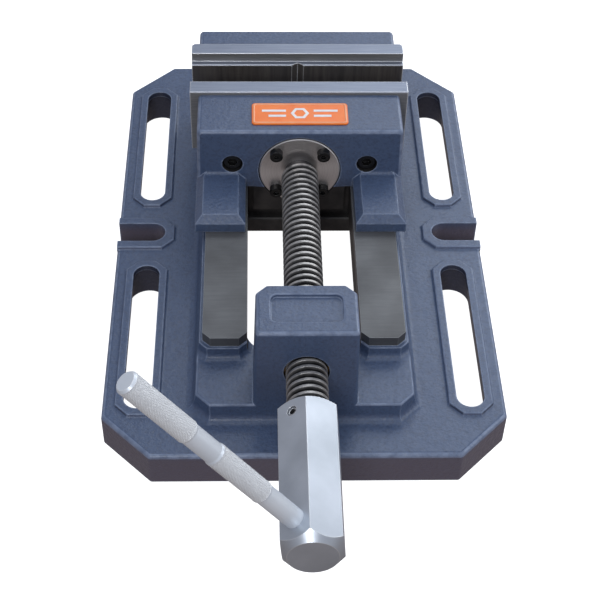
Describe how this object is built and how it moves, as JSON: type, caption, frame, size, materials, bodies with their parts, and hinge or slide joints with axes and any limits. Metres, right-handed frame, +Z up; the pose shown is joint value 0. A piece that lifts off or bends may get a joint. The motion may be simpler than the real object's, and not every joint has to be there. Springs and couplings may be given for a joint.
{
  "type": "machine vise",
  "caption": "Drill-press vise: slotted base plate with ways, moving jaw driven by a lead screw with a hexagon hub and side handle, and a fixed jaw, both with stepped jaw plates.",
  "frame": {"origin": "centre of the base plate's underside, midway between the two side notches", "axes": "+Z up, +Y along the lead screw from the handle towards the fixed jaw, +X to the right as seen from the handle"},
  "size_m": [0.201, 0.3909, 0.1583],
  "materials": {
    "paint": "hammered blue-grey enamel on grey iron",
    "plate_steel": "ground steel, blued on the wide faces",
    "black_steel": "black oxide",
    "screw_steel": "turned steel",
    "bright_steel": "satin nickel",
    "flange_steel": "turned and blackened steel",
    "hub_steel": "zinc-plated steel",
    "keeper_steel": "milled steel",
    "bronze": "turned bronze",
    "orange": "gloss enamel on a pressed plate"
  },
  "bodies": {
    "base": {"base_casting": "paint", "lead_screw_nut": "bronze", "nut_locking_pin": "keeper_steel", "fixed_jaw_plate": "plate_steel", "fixed_jaw_plate_screws": "black_steel"},
    "moving_jaw": {"moving_jaw_casting": "paint", "moving_jaw_plate": "plate_steel", "moving_jaw_plate_screws": "black_steel", "nameplate": "orange", "screw_flange": "flange_steel", "flange_screws": "black_steel", "thrust_pad": "keeper_steel", "keeper_plate": "keeper_steel", "keeper_spring_washers": "keeper_steel", "keeper_screws": "black_steel"},
    "screw": {"lead_screw": "screw_steel", "thrust_collar": "keeper_steel", "collar_pin": "keeper_steel", "hex_hub": "hub_steel", "hub_spring_pin": "keeper_steel", "handle_bar": "bright_steel"}
  },
  "joints": [
    {"name": "jaw_slide", "type": "slide", "parent": "base", "child": "moving_jaw", "axis": [0, 1, 0], "range_m": [-0.101, 0.0189]},
    {"name": "screw_turn", "type": "hinge", "parent": "moving_jaw", "child": "screw", "pos_m": [0, -0.2, 0.0555], "axis": [0, 1, 0], "range_deg": [-9100, 1715]}
  ],
  "couplings": [
    {"joint": "screw_turn", "follows": "jaw_slide", "rad_per_m": 1570.8}
  ]
}
